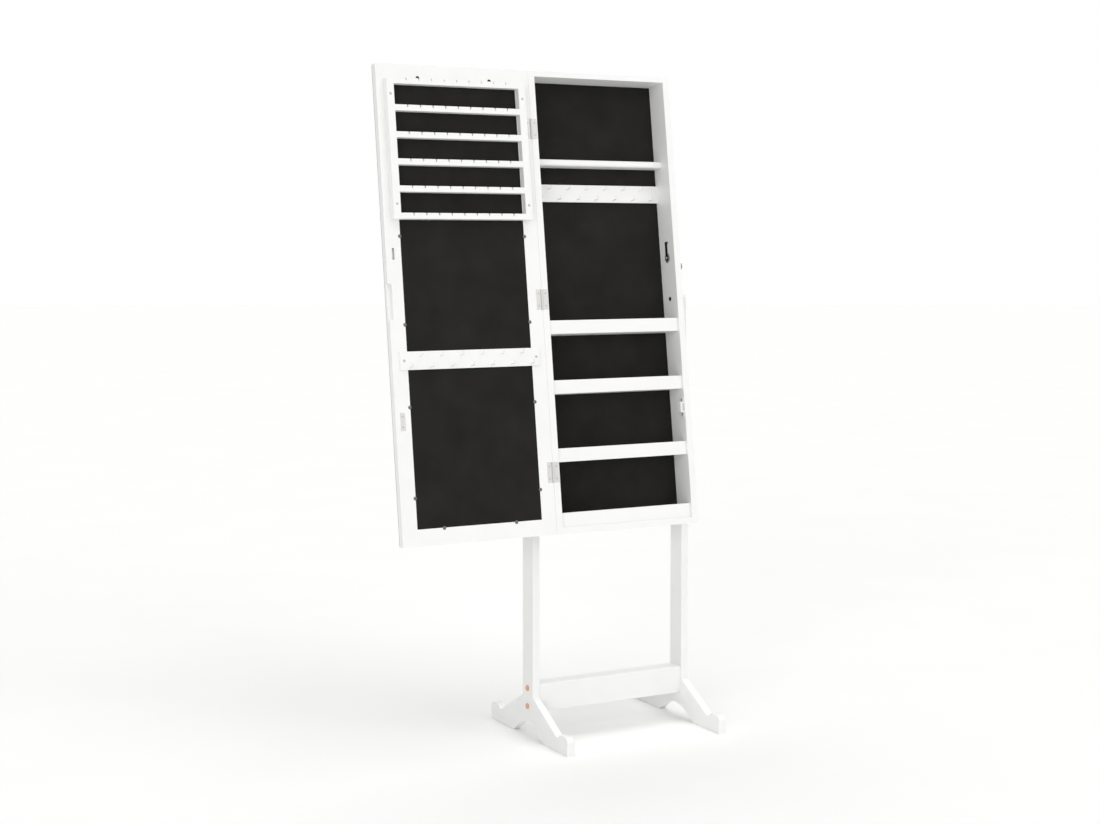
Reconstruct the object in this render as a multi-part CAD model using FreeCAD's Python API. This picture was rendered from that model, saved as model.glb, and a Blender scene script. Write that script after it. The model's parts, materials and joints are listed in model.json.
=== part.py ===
import FreeCAD, Part
import math
import os

# A standing jewelry cabinet. A shallow case with a full-length mirror door hangs between two
# posts on a pair of pivot bolts, so that it tilts. The door is modelled wide open, its hinge
# edge beside the case, which shows the earring rack and the hook bar on its inner side.
#
# Millimetres, X to the right, Y to the back, Z up. The origin is on the floor, in the middle of
# the object's box. Two working frames share X = 0 at the hinge line:
#   stand frame  Y from the middle of the posts, Z from the floor
#   case frame   Y from the case's front edge, Z from its underside, upright until it is hung
# on_floor() and hang() take the pieces from these frames into the part's own frame.

V = FreeCAD.Vector

# ---------------------------------------------------------------- driving dimensions
# Case boards
case_w = 374.0             # outside width, also the width of the door
case_h = 1050.0            # outside height, also the height of the door
case_depth = 68.0          # front edge to back edge of the sides
side_t = 16.0              # left and right sides
top_t = 12.0               # top panel
bottom_t = 15.0            # bottom panel
back_t = 3.0               # back board
felt_t = 3.0               # lined panel in front of the back board

# Shelf and trays, heights above the case's underside
shelf_drop = 210.5         # underside of the upper shelf below the case's top
shelf_t = 15.0             # thickness of the upper shelf
shelf_setback = 30.0       # front edge of the upper shelf behind the case's front edge
lower_tray_z = 160.8       # underside of the lower tray
middle_tray_step = 153.7   # from the lower tray to the middle one
upper_tray_step = 135.7    # from the middle tray to the upper one
tray_floor_t = 9.0         # thickness of a tray floor
rail_setback = 6.0         # front face of the rails behind the case's front edge
rail_t = 9.0               # thickness of a rail
rail_h = 30.8              # height of a tray rail
bottom_rail_h = 31.8       # height of the rail that stands on the bottom panel

# Hook bars, one on the case's back and one on the door
bar_t = 4.0                # thickness of a hook bar
bar_h = 40.0               # height of a hook bar
necklace_bar_drop = 39.5   # top of the case's bar below the upper shelf
door_bar_rise = 65.2       # underside of the door's bar above the underside of the middle tray
door_bar_room = 0.8        # end of the door's bar to the case's inner wall, door closed
hook_end = 24.0            # last hook of the lower row to the case's inner wall
hook_low_row = 5.7         # lower row above the bar's underside
hook_high_row = 29.5       # upper row above the bar's underside
hook_low_count = 7         # hooks in the lower row
hook_wire_r = 1.1          # radius of a hook's round stem
hook_reach = 16.0          # bar's face to the outside of a hook's tip
hook_rise = 8.0            # centre of the stem to the top of the tip
hook_bend_r = 1.6          # centre-line radius of a hook's bend
hook_root = 3.0            # length of the stem in the bar

# Door
frame_t = 16.0             # thickness of the door frame
mirror_t = 4.0             # mirror glass on the frame's outer face
frame_w = 36.0             # width of the stiles and the bottom rail
top_rail_w = 29.5          # width of the top rail
lip_w = 8.0                # width of the rebate that the panel lies on
panel_t = 3.0              # felt-covered panel
panel_recess = 0.4         # panel's face below the frame's face
panel_screw_low = 103.0    # lowest side screws above the door's underside
panel_screw_below = 80.7   # next side screws below the hook bar's underside
panel_screw_above = 58.3   # next side screws above the hook bar's top
panel_screw_high = 35.9    # highest side screws below the rack
panel_screw_spread = 87.5  # top and bottom screws, from the door's middle
panel_screw_out = 1.0      # screw centre outside the panel's edge
panel_head_r = 4.0         # round head that overlaps the panel
panel_head_t = 1.6         # height of that head
pull_w = 9.5               # finger pull in the free edge, width
pull_h = 79.0              # finger pull, height
pull_drop = 56.6           # finger pull's upper end below the lock's axis
pull_depth = 9.0           # finger pull, depth
pull_corner_r = 4.5        # finger pull, rounded ends

# Earring rack on the door
rack_room = 2.0            # side of the rack to the case's inner wall, door closed
rack_clear = 0.2           # top of the rack below the heads of the upper retaining screws
rack_rise = 81.9           # bottom of the rack above the lock's axis
rack_depth = 16.0          # front to back
rack_stile_w = 17.0        # width of the upright pieces
rack_bar_h = 13.4          # height of a bar
rack_bar_count = 6         # bars
rack_screw_top = 36.3      # upper screws below the rack's top
rack_screw_bottom = 32.6   # lower screws above the rack's bottom
notch_w = 3.0              # slot for an earring's hook
notch_depth = 5.5          # slot, down from the bar's top edge
notch_count = 9            # slots in a bar

# Hinges and gaps of the door
door_gap = 1.0             # closed door to the case's front edge
hinge_gap = 0.4            # door's hinge edge to the hinge line
hinge_h = 46.0             # height of a hinge
hinge_low = 139.0          # middle of the lowest hinge above the case's underside
hinge_high = 133.0         # middle of the highest hinge below the case's top
leaf_w = 15.0              # hinge line to the outer edge of a leaf
leaf_t = 1.0               # thickness of a leaf
knuckle_r = 2.5            # outside radius of the knuckle
hinge_pin_r = 1.2          # hinge pin
leaf_screw_x = 9.0         # leaf screws from the hinge line
leaf_screw_z = 14.0        # leaf screws from the hinge's middle

# Small countersunk screws of the hinges, the catch and the strike plates
screw_r = 1.5              # shank
screw_head_r = 2.8         # head
screw_head_t = 1.3         # height of the head's cone
screw_l = 13.0             # whole length
mount_screw_r = 1.8        # shank of the longer screws of the rack and the hook bar
mount_head_r = 3.4         # their heads
mount_bite = 10.0          # their length in the stiles

# Magnetic catch on the right side
catch_drop = 43.5          # middle of the catch below the middle tray
catch_w = 12.0             # inner wall to the catch's inner face
catch_h = 24.0             # height of the body
catch_back = 15.0          # back of the body behind the case's front edge
catch_touch = 0.3          # catch to strike plate, door closed
flange_h = 44.0            # height of the screwed flange
flange_t = 2.0             # thickness of the flange
flange_depth = 11.0        # front to back
catch_screw_z = 16.8       # screws from the catch's middle
magnet_w = 6.0             # magnet, width
magnet_depth = 10.0        # magnet, front to back
magnet_wall = 3.0          # plastic above and below the magnet
magnet_side = 1.0          # plastic between the magnet and the wall
strike_side = 1.0          # middle of the catch's strike plate to the inner wall, door closed
strike_w = 12.0            # strike plate, width
strike_h = 39.5            # strike plate, height
strike_t = 1.0             # strike plate, thickness
strike_drop = 2.5          # strike plate's middle below the catch's middle
strike_screw_z = 11.5      # its screws from its middle

# Cam lock in the right side
lock_y = 32.0              # lock axis behind the case's front edge
lock_rise = 97.0           # lock axis above the pivot
lock_r = 8.0               # cylinder
lock_flange_r = 10.0       # its flange
lock_flange_t = 1.5        # thickness of the flange
lock_nut_r = 11.0          # round nut
lock_nut_t = 3.0           # its thickness
plug_r = 5.0               # plug
plug_square = 5.0          # square end that carries the cam
cam_t = 2.0                # cam plate
cam_gap = 0.4              # cam to the inner wall
cam_hub_r = 5.5            # round middle of the cam
cam_w = 7.0                # width of its arm
cam_reach = 38.0           # lock axis to the cam's end
beak_out = 3.5             # beak beyond the arm
beak_w = 3.8               # beak, along the arm
cam_screw_r = 1.5          # cam screw, shank
cam_head_r = 3.6           # cam screw, head
cam_head_t = 2.0           # cam screw, height of the head
keeper_w = 14.0            # strike plate of the lock, width
keeper_t = 1.0             # its thickness
keeper_end = 7.5           # plate beyond the pocket, at each end
keeper_slot_w = 5.5        # slot for the cam, width
keeper_slot_low = 5.0      # slot below the lock axis
keeper_slot_high = 20.0    # slot above the lock axis
pocket_w = 7.0             # pocket in the stile, width
pocket_depth = 8.0         # pocket, from the frame's face
pocket_margin = 3.0        # pocket above and below the slot

# Folding key
key_t = 2.0                # blade
key_w = 6.0                # blade, height
key_in = 14.0              # blade in the plug
key_out = 17.0             # side's outer face to the rivet
rivet_r = 1.0              # rivet that the bow turns on
bow_w = 18.0               # bow, width
bow_l = 29.0               # rivet to the end of the bow
bow_t = 2.5                # bow, thickness
bow_ear_t = 2.0            # each ear beside the blade
bow_hole_r = 4.0           # hole in the bow

# Stand
tilt = 7.8                 # degrees that the case leans back
pivot_y = 32.0             # pivot behind the case's front edge
pivot_rise = 3.0           # pivot above the middle of the case's height
post_pivot_z = 999.0       # pivot above the floor
leg_t = 18.0               # legs
leg_gap = 3.0              # leg to side
door_clear = 0.5           # post to the back of the open door, at the pivot
post_half = 25.0           # half the post's depth, below its taper
post_taper_z = 600.0       # height where the taper starts
foot_half = 189.0          # half the foot's length
crest_z = 41.5             # height of the foot's end
tip_r = 12.5               # rounded corner of the foot's end
crest_l = 31.0             # foot's end to the inner end of its flat crest
dip_l = 18.2               # from there to the lowest point of the dip behind the crest
valley_z = 33.25           # height of that dip
valley_r = 14.0            # radius where the dip meets the slope
foot_slope = 29.0          # degrees, slope from the dip up to the post
sole_in = 77.0             # inner end of the sole, from the middle
sole_r = 9.6               # radius at that end
arch_top = 33.0            # height of the arch between the soles
arch_r = 88.0              # radius of the arch
arch_half = 52.0           # half the round stretch of the arch
stretcher_z = 61.0         # underside of the stretcher
stretcher_h = 63.0         # height of the stretcher
stretcher_t = 41.0         # thickness of the stretcher
edge_r = 1.5               # rounded edges of the boards
bolt_r = 3.0               # stretcher bolts and pivot bolts
bolt_half = 21.0           # stretcher bolts from the middle of its height
bolt_head_r = 6.5          # round head of a stretcher bolt
bolt_head_t = 3.0          # height of a head
socket_af = 5.0            # hexagon socket in that head, across flats
socket_depth = 2.0         # its depth
bolt_slack = 0.4           # bolt to its hole in the wood
barrel_r = 5.0             # barrel nut
barrel_l = 12.0            # its length
barrel_in = 32.0           # leg's inner face to the barrel nut
pivot_head_r = 6.0         # pivot bolt, button head
insert_r = 4.0             # threaded insert in the side
washer_r = 9.0             # friction washer
dowel_r = 3.0              # dowels in the case's corners
dowel_l = 30.0             # their length
dowel_in = 10.0            # their length in the side
dowel_y = 16.0             # dowels from the front and back edges

# Clearances
fit_gap = 0.05             # a pin turning in its bore
turn_gap = 0.3             # round parts that turn past a face
slip_gap = 0.1             # flat faces that turn on each other

# ---------------------------------------------------------------- sizes that follow
inner_left = side_t
inner_right = case_w - side_t
door_t = frame_t + mirror_t
panel_face = panel_recess
panel_seat = panel_recess + panel_t
felt_face = case_depth - back_t - felt_t
axis_y = -door_gap / 2
door_edge = -hinge_gap
door_mid = -case_w / 2
window_left = frame_w - case_w
window_right = -frame_w
window_low = frame_w
window_high = case_h - top_rail_w
rack_inset = side_t + rack_room
pivot_z = case_h / 2 + pivot_rise
lock_z = pivot_z + lock_rise
shelf_z = case_h - shelf_drop
middle_tray_z = lower_tray_z + middle_tray_step
tray_levels = {"upper": middle_tray_z + upper_tray_step, "middle": middle_tray_z, "lower": lower_tray_z}
necklace_bar_z = shelf_z - necklace_bar_drop - bar_h
door_bar_z = middle_tray_z + door_bar_rise
hook_pitch = (inner_right - inner_left - 2 * hook_end) / (hook_low_count - 1)
pull_z = lock_z - pull_drop - pull_h
rack_low = lock_z + rack_rise
rack_high = window_high + panel_screw_out - panel_head_r - rack_clear
rack_pitch = (rack_high - rack_low - rack_bar_h) / (rack_bar_count - 1)
notch_pitch = (case_w - 2 * rack_inset - 2 * rack_stile_w) / (notch_count + 1)
panel_screw_levels = (panel_screw_low, door_bar_z - panel_screw_below,
                      door_bar_z + bar_h + panel_screw_above, rack_low - panel_screw_high)
catch_z = middle_tray_z - catch_drop
strike_x = inner_right - strike_side
strike_z = catch_z - strike_drop
hinge_levels = (hinge_low, (hinge_low + case_h - hinge_high) / 2, case_h - hinge_high)
leg_left = -leg_gap - leg_t
leg_right = case_w + leg_gap
crest_y = foot_half - crest_l
valley_y = crest_y - dip_l
post_top_r = pivot_y - door_t - door_clear
relief_r = knuckle_r + turn_gap
cam_high = inner_right - cam_gap
cam_low = cam_high - cam_t
keeper_x = -(cam_high + cam_low) / 2
keeper_z = lock_z + (keeper_slot_high - keeper_slot_low) / 2
keeper_half = (keeper_slot_high + keeper_slot_low) / 2 + pocket_margin + keeper_end
key_x = case_w + key_out
x_middle = (leg_right + leg_t + bolt_head_t - case_w) / 2

nodes = {}


# ---------------------------------------------------------------- helpers
def block(x0, x1, y0, y1, z0, z1):
    """A box from its six faces."""
    return Part.makeBox(x1 - x0, y1 - y0, z1 - z0, V(x0, y0, z0))


def rod(radius, start, end):
    """A round bar between two points."""
    along = V(*end) - V(*start)
    return Part.makeCylinder(radius, along.Length, V(*start), along)


def prism(points, x0, x1):
    """A flat outline in Y and Z, carried along X."""
    corners = [V(x0, y, z) for y, z in points]
    outline = Part.makePolygon(corners + corners[:1])
    return Part.Face(outline).extrude(V(x1 - x0, 0, 0))


def soften(solid, radius, pick):
    """Rounds the straight and curved edges that pick() says."""
    return solid.makeFillet(radius, [edge for edge in solid.Edges if pick(edge.BoundBox)])


def is_at(value, low, high):
    """True where an edge lies in the plane at value."""
    return abs(low - value) < 1e-4 and abs(high - value) < 1e-4


def cut(solid, tools):
    """Takes a list of shapes out of a solid."""
    return solid.cut(tools) if tools else solid


def screw(at, along, length, radius, head_r, head_t):
    """A countersunk screw with its head's face at a point."""
    start = V(*at)
    axis = V(*along)
    head = Part.makeCone(head_r, radius, head_t, start, axis)
    shank = Part.makeCylinder(radius, length, start, axis)
    return head.fuse(shank).removeSplitter()


def small_screw(at, along):
    """The screw of the hinges, the catch and the strike plates."""
    return screw(at, along, screw_l, screw_r, screw_head_r, screw_head_t)


def mount_screw(x, z, depth):
    """A longer screw through a piece that stands on the door, into the stile behind it."""
    return screw((x, -depth, z), (0, 1, 0), depth + mount_bite, mount_screw_r, mount_head_r, mount_screw_r)


def place(name, solids, move):
    """Keeps one solid, or a group of separate ones, under its node's name."""
    group = solids if isinstance(solids, list) else [solids]
    moved = [move(solid) for solid in group]
    nodes[name] = moved[0] if len(moved) == 1 else Part.makeCompound(moved)


def on_floor(solid):
    """Stand frame to part frame."""
    return solid.translated(V(-x_middle, 0, 0))


def hang(solid):
    """Case frame to part frame: leaned back about the pivot, at the pivot's height."""
    moved = solid.translated(V(-x_middle, -pivot_y, -pivot_z))
    moved.rotate(V(0, 0, 0), V(1, 0, 0), -tilt)
    return moved.translated(V(0, 0, post_pivot_z))


# ---------------------------------------------------------------- stand
def foot_outline():
    """Half of a leg's outline in Y and Z, from the arch's top round the foot to the post's top."""
    def line(a, b):
        return Part.LineSegment(V(0, *a), V(0, *b)).toShape()

    def arc(a, through, b):
        return Part.Arc(V(0, *a), V(0, *through), V(0, *b)).toShape()

    def round_at(centre, radius, angle):
        return (centre[0] + radius * math.cos(angle), centre[1] + radius * math.sin(angle))

    up = math.pi / 2
    arch_centre = (0, arch_top - arch_r)
    arch_turn = math.asin(arch_half / arch_r)
    crown = (0, arch_top)
    spring = round_at(arch_centre, arch_r, up - arch_turn)
    sole_centre = (sole_in, sole_r)
    heel_high = round_at(sole_centre, sole_r, -up - arch_turn)
    heel = (sole_in, 0)
    toe = (foot_half, 0)
    tip_low = (foot_half, crest_z - tip_r)
    tip_centre = (foot_half - tip_r, crest_z - tip_r)
    tip_high = (foot_half - tip_r, crest_z)
    crest = (crest_y, crest_z)
    dip = (valley_y, valley_z)
    rise = math.atan2(crest_z - valley_z, crest_y - valley_y) * 2
    ease_r = (crest_y - valley_y) / (2 * math.sin(rise))
    halfway = ((crest_y + valley_y) / 2, (crest_z + valley_z) / 2)
    slope = math.radians(foot_slope)
    dip_centre = (valley_y, valley_z + valley_r)
    slope_foot = round_at(dip_centre, valley_r, -up - slope)
    post_foot = (post_half, slope_foot[1] + (slope_foot[0] - post_half) * math.tan(slope))
    post_knee = (post_half, post_taper_z)
    pivot = (0, post_pivot_z)
    shoulder = (post_top_r, post_pivot_z)
    top = (0, post_pivot_z + post_top_r)
    return [
        arc(crown, round_at(arch_centre, arch_r, up - arch_turn / 2), spring),
        line(spring, heel_high),
        arc(heel_high, round_at(sole_centre, sole_r, -up - arch_turn / 2), heel),
        line(heel, toe),
        line(toe, tip_low),
        arc(tip_low, round_at(tip_centre, tip_r, up / 2), tip_high),
        line(tip_high, crest),
        arc(crest, round_at((crest_y, crest_z - ease_r), ease_r, up + rise / 2), halfway),
        arc(halfway, round_at((valley_y, valley_z + ease_r), ease_r, -up + rise / 2), dip),
        arc(dip, round_at(dip_centre, valley_r, -up - slope / 2), slope_foot),
        line(slope_foot, post_foot),
        line(post_foot, post_knee),
        line(post_knee, shoulder),
        arc(shoulder, round_at(pivot, post_top_r, up / 2), top),
    ]


def make_legs():
    half = foot_outline()
    other = [edge.mirror(V(0, 0, 0), V(0, 1, 0)) for edge in half]
    outline = Part.Wire(Part.__sortEdges__(half + other))
    blank = Part.Face(outline).extrude(V(leg_t, 0, 0))
    blank = soften(blank, edge_r, lambda box: is_at(0, box.XMin, box.XMax)
                   or is_at(leg_t, box.XMin, box.XMax))
    middle = stretcher_z + stretcher_h / 2
    for name, x in (("left_leg", leg_left), ("right_leg", leg_right)):
        holes = [rod(bolt_r + fit_gap, (x, 0, post_pivot_z), (x + leg_t, 0, post_pivot_z))]
        for z in (middle - bolt_half, middle + bolt_half):
            holes.append(rod(bolt_r + bolt_slack, (x, 0, z), (x + leg_t, 0, z)))
        place(name, cut(blank.translated(V(x, 0, 0)), holes), on_floor)


def hexagon(x0, x1, z):
    """The socket of a bolt along X at a height, flats at the top and bottom."""
    reach = socket_af / math.sqrt(3)
    turns = [math.radians(60 * step) for step in range(6)]
    return prism([(reach * math.cos(a), z + reach * math.sin(a)) for a in turns], x0, x1)


def make_stretcher():
    x0 = leg_left + leg_t
    x1 = leg_right
    half = stretcher_t / 2
    beam = block(x0, x1, -half, half, stretcher_z, stretcher_z + stretcher_h)
    beam = soften(beam, edge_r, lambda box: box.XMax - box.XMin > (x1 - x0) / 2)
    middle = stretcher_z + stretcher_h / 2
    bolts = []
    barrels = []
    holes = []
    for face, inward in ((x0, 1), (x1, -1)):
        outer = face - inward * leg_t
        for z in (middle - bolt_half, middle + bolt_half):
            nut_x = face + inward * barrel_in
            tip_x = nut_x + inward * barrel_r
            shank = rod(bolt_r, (outer, 0, z), (tip_x, 0, z))
            face_x = outer - inward * bolt_head_t
            head = rod(bolt_head_r, (outer, 0, z), (face_x, 0, z))
            head = soften(head, bolt_head_t / 2, lambda box: is_at(face_x, box.XMin, box.XMax))
            ends = sorted((face_x, face_x + inward * socket_depth))
            bolts.append(head.fuse(shank).removeSplitter().cut(hexagon(ends[0], ends[1], z)))
            nut = rod(barrel_r, (nut_x, -barrel_l / 2, z), (nut_x, barrel_l / 2, z))
            barrels.append(nut.cut(shank))
            holes.append(rod(bolt_r + bolt_slack, (face, 0, z), (tip_x, 0, z)))
            holes.append(rod(barrel_r, (nut_x, -barrel_l / 2, z), (nut_x, half, z)))
    place("stretcher", cut(beam, holes), on_floor)
    place("stretcher_bolts", bolts, on_floor)
    place("stretcher_barrel_nuts", barrels, on_floor)


def make_pivots():
    """Bolts and inserts that turn with the case, and washers that stay on the legs."""
    bolts = []
    inserts = []
    washers = []
    for inner, face, inward in ((inner_left, 0, 1), (inner_right, case_w, -1)):
        leg_in = face - inward * leg_gap
        leg_out = leg_in - inward * leg_t
        under = leg_out - inward * slip_gap
        shank = rod(bolt_r, (under, pivot_y, pivot_z), (inner, pivot_y, pivot_z))
        head_end = leg_out - inward * bolt_head_t
        head = rod(pivot_head_r, (under, pivot_y, pivot_z), (head_end, pivot_y, pivot_z))
        bolts.append(head.fuse(shank).removeSplitter())
        sleeve = rod(insert_r, (face, pivot_y, pivot_z), (inner, pivot_y, pivot_z))
        inserts.append(sleeve.cut(shank))
        washer_end = face - inward * slip_gap
        disc = rod(washer_r, (leg_in, 0, post_pivot_z), (washer_end, 0, post_pivot_z))
        washers.append(disc.cut(rod(bolt_r + fit_gap, (leg_in, 0, post_pivot_z), (face, 0, post_pivot_z))))
    place("pivot_bolts", bolts, hang)
    place("pivot_inserts", inserts, hang)
    place("pivot_washers", washers, on_floor)


# ---------------------------------------------------------------- hinges
def hinge_parts(z):
    """One hinge in its open state: case leaf, door leaf, pin and the screws of both."""
    low = z - hinge_h / 2
    high = z + hinge_h / 2
    third = hinge_h / 3
    ends = ((low, low + third), (high - third, high))
    middle = (low + third + turn_gap, high - third - turn_gap)

    def barrel(radius, span):
        return rod(radius, (0, axis_y, span[0]), (0, axis_y, span[1]))

    swept_middle = barrel(relief_r, (low + third, high - third))
    case_leaf = block(0, leaf_w, 0, leaf_t, low, high).cut(swept_middle)
    for span in ends:
        case_leaf = case_leaf.fuse(barrel(knuckle_r, span))
    case_leaf = case_leaf.cut(barrel(hinge_pin_r, (low, high)))
    swept_ends = [barrel(relief_r, (low, middle[0])), barrel(relief_r, (middle[1], high))]
    door_leaf = block(-leaf_w, door_edge, 0, leaf_t, low, high).cut(swept_ends)
    door_leaf = door_leaf.fuse(barrel(knuckle_r, middle)).cut(barrel(hinge_pin_r + fit_gap, middle))
    levels = (z - leaf_screw_z, z + leaf_screw_z)
    case_screws = [small_screw((leaf_screw_x, 0, level), (0, 1, 0)) for level in levels]
    door_screws = [small_screw((-leaf_screw_x, 0, level), (0, 1, 0)) for level in levels]
    return {
        "case_leaf": case_leaf.cut(case_screws).removeSplitter(),
        "door_leaf": door_leaf.cut(door_screws).removeSplitter(),
        "pin": barrel(hinge_pin_r, (low, high)),
        "case_screws": case_screws,
        "door_screws": door_screws,
        "recess": block(-leaf_w, leaf_w, 0, leaf_t, low, high),
        "relief": barrel(relief_r, (low, high)),
    }


# ---------------------------------------------------------------- lock and key
def cam_outline(reach, beak):
    """The cam's plate at rest, arm up, in Y and Z from the lock axis."""
    half = cam_w / 2
    return [(half, 0), (half, reach), (-half - beak, reach), (-half - beak, reach - beak_w),
            (-half, reach - beak_w), (-half, 0)]


def make_lock():
    """Cylinder and nut in the side, and the plug, cam and key that turn in it."""
    def shaft(radius, x0, x1):
        return rod(radius, (x0, lock_y, lock_z), (x1, lock_y, lock_z))

    front = case_w + lock_flange_t
    cylinder = shaft(lock_r, inner_right, case_w).fuse(shaft(lock_flange_r, case_w, front))
    cylinder = cylinder.cut(shaft(plug_r + fit_gap, inner_right, front)).removeSplitter()
    nut = shaft(lock_nut_r, inner_right, inner_right + lock_nut_t).cut(shaft(lock_r, inner_right, case_w))
    half = plug_square / 2
    square = block(cam_low, inner_right, lock_y - half, lock_y + half, lock_z - half, lock_z + half)
    cam_screw_end = inner_right + lock_nut_t
    blade_end = front - key_in
    plug = shaft(plug_r, inner_right, front).fuse(square)
    screw_shank = shaft(cam_screw_r, cam_low, cam_screw_end)
    cam_screw = screw_shank.fuse(shaft(cam_head_r, cam_low - cam_head_t, cam_low)).removeSplitter()

    key_half = key_w / 2
    thin = key_t / 2
    blade = block(blade_end, key_x, lock_y - thin, lock_y + thin, lock_z - key_half, lock_z + key_half)
    eye = rod(key_half, (key_x, lock_y - thin, lock_z), (key_x, lock_y + thin, lock_z))
    hole = rod(rivet_r + fit_gap, (key_x, lock_y - thin, lock_z), (key_x, lock_y + thin, lock_z))
    blade = blade.fuse(eye).removeSplitter().cut(hole)
    plug = plug.cut([screw_shank, blade]).removeSplitter()

    plate = prism([(lock_y + y, lock_z + z) for y, z in cam_outline(cam_reach, beak_out)], cam_low, cam_high)
    cam = plate.fuse(shaft(cam_hub_r, cam_low, cam_high)).cut(square).removeSplitter()

    place("lock_cylinder", cylinder, hang)
    place("lock_nut", nut, hang)
    place("lock_plug", plug, hang)
    place("lock_cam", cam, hang)
    place("lock_cam_screw", cam_screw, hang)
    place("key_blade", blade, hang)
    return [shaft(lock_r, inner_right, case_w), shaft(lock_nut_r, inner_right, inner_right + lock_nut_t)]


def make_key_bow():
    """The bow hangs from the rivet and folds out in line with the blade."""
    thin = key_t / 2 + slip_gap
    wide = thin + bow_ear_t
    root = key_w / 2 + turn_gap
    half = bow_t / 2
    round_r = bow_w / 2
    round_z = lock_z - bow_l + round_r
    disc = rod(round_r, (key_x - half, lock_y, round_z), (key_x + half, lock_y, round_z))
    neck = block(key_x - half, key_x + half, lock_y - wide, lock_y + wide, round_z, lock_z)
    bow = disc.fuse(neck)
    bow = bow.cut(block(key_x - half, key_x + half, lock_y - thin, lock_y + thin, lock_z - root, lock_z))
    bow = bow.cut(rod(bow_hole_r, (key_x - half, lock_y, round_z), (key_x + half, lock_y, round_z)))
    ears = rod(half, (key_x, lock_y - wide, lock_z), (key_x, lock_y + wide, lock_z))
    slot = block(key_x - half, key_x + half, lock_y - thin, lock_y + thin, lock_z - half, lock_z + half)
    rivet = rod(rivet_r, (key_x, lock_y - wide, lock_z), (key_x, lock_y + wide, lock_z))
    bow = bow.fuse(ears.cut(slot)).fuse(rivet)
    place("key_bow", bow.removeSplitter(), hang)


# ---------------------------------------------------------------- catch
def make_catch():
    """The magnetic catch on the right side. Returns its screws."""
    front = catch_touch - door_gap
    inner = inner_right - catch_w
    low = catch_z - catch_h / 2
    high = catch_z + catch_h / 2
    body = block(inner, inner_right, front, catch_back, low, high)
    body = soften(body, edge_r, lambda box: is_at(inner, box.XMin, box.XMax))
    flange = block(inner_right - flange_t, inner_right, catch_back - flange_depth, catch_back,
                   catch_z - flange_h / 2, catch_z + flange_h / 2)
    magnet_x = inner_right - magnet_side
    magnet = block(magnet_x - magnet_w, magnet_x, front, front + magnet_depth,
                   low + magnet_wall, high - magnet_wall)
    screw_y = catch_back - flange_depth / 2
    screws = [small_screw((inner_right - flange_t, screw_y, catch_z + side * catch_screw_z), (1, 0, 0))
              for side in (-1, 1)]
    body = body.fuse(flange).cut([magnet] + screws).removeSplitter()
    place("catch_body", body, hang)
    place("catch_magnet", magnet, hang)
    return screws


# ---------------------------------------------------------------- case
def hooks_on(bar_low, face, middle):
    """Two staggered rows of hooks on a bar whose front face is at Y = face."""
    tip = face - hook_reach + hook_wire_r
    rows = ((hook_low_count, bar_low + hook_low_row), (hook_low_count - 1, bar_low + hook_high_row))
    spots = [(middle + (n - (count - 1) / 2) * hook_pitch, z) for count, z in rows for n in range(count)]
    corner = hook_bend_r * (1 - math.sqrt(0.5))
    hooks = []
    for x, z in spots:
        top = z + hook_rise - hook_wire_r
        stem = Part.LineSegment(V(x, face + hook_root, z), V(x, tip + hook_bend_r, z)).toShape()
        bend = Part.Arc(V(x, tip + hook_bend_r, z), V(x, tip + corner, z + corner),
                        V(x, tip, z + hook_bend_r)).toShape()
        rise = Part.LineSegment(V(x, tip, z + hook_bend_r), V(x, tip, top)).toShape()
        ring = Part.Wire([Part.makeCircle(hook_wire_r, V(x, face + hook_root, z), V(0, 1, 0))])
        wire = Part.Wire([stem, bend, rise]).makePipeShell([ring], True, False)
        end = Part.makeSphere(hook_wire_r, V(x, tip, top))
        hooks.append(wire.fuse(end).removeSplitter())
    return hooks


def make_case(hinges, lock_holes, catch_screws):
    """Sides, top, bottom, back and the dowels that join them."""
    left = block(0, side_t, 0, case_depth, 0, case_h)
    right = block(inner_right, case_w, 0, case_depth, 0, case_h)
    top = block(inner_left, inner_right, 0, case_depth, case_h - top_t, case_h)
    bottom = block(inner_left, inner_right, 0, case_depth, 0, bottom_t)
    dowels = []
    for face, outward in ((inner_left, -1), (inner_right, 1)):
        for y in (dowel_y, case_depth - dowel_y):
            for z in (bottom_t / 2, case_h - top_t / 2):
                start = (face + outward * dowel_in, y, z)
                end = (face - outward * (dowel_l - dowel_in), y, z)
                dowels.append(rod(dowel_r, start, end))
    pivot_hole = rod(insert_r, (0, pivot_y, pivot_z), (case_w, pivot_y, pivot_z))
    left_cuts = dowels + [pivot_hole]
    for hinge in hinges:
        left_cuts += [hinge["recess"], hinge["relief"]] + hinge["case_screws"]
    place("left_side", cut(left, left_cuts), hang)
    place("right_side", cut(right, dowels + [pivot_hole] + lock_holes + catch_screws), hang)
    place("top_panel", cut(top, dowels), hang)
    place("bottom_panel", cut(bottom, dowels), hang)
    place("carcass_dowels", dowels, hang)
    back_face = case_depth - back_t
    low = bottom_t
    high = case_h - top_t
    place("back_board", block(inner_left, inner_right, back_face, case_depth, low, high), hang)
    place("felt_lining", block(inner_left, inner_right, felt_face, back_face, low, high), hang)


def make_rail(name, low, height):
    """A rail across the front of a tray, its long front edges rounded."""
    rail = block(inner_left, inner_right, rail_setback, rail_setback + rail_t, low, low + height)
    long_edge = (inner_right - inner_left) / 2
    rail = soften(rail, edge_r, lambda box: box.XMax - box.XMin > long_edge
                  and is_at(low + height, box.ZMin, box.ZMax))
    place(name, rail, hang)


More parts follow.
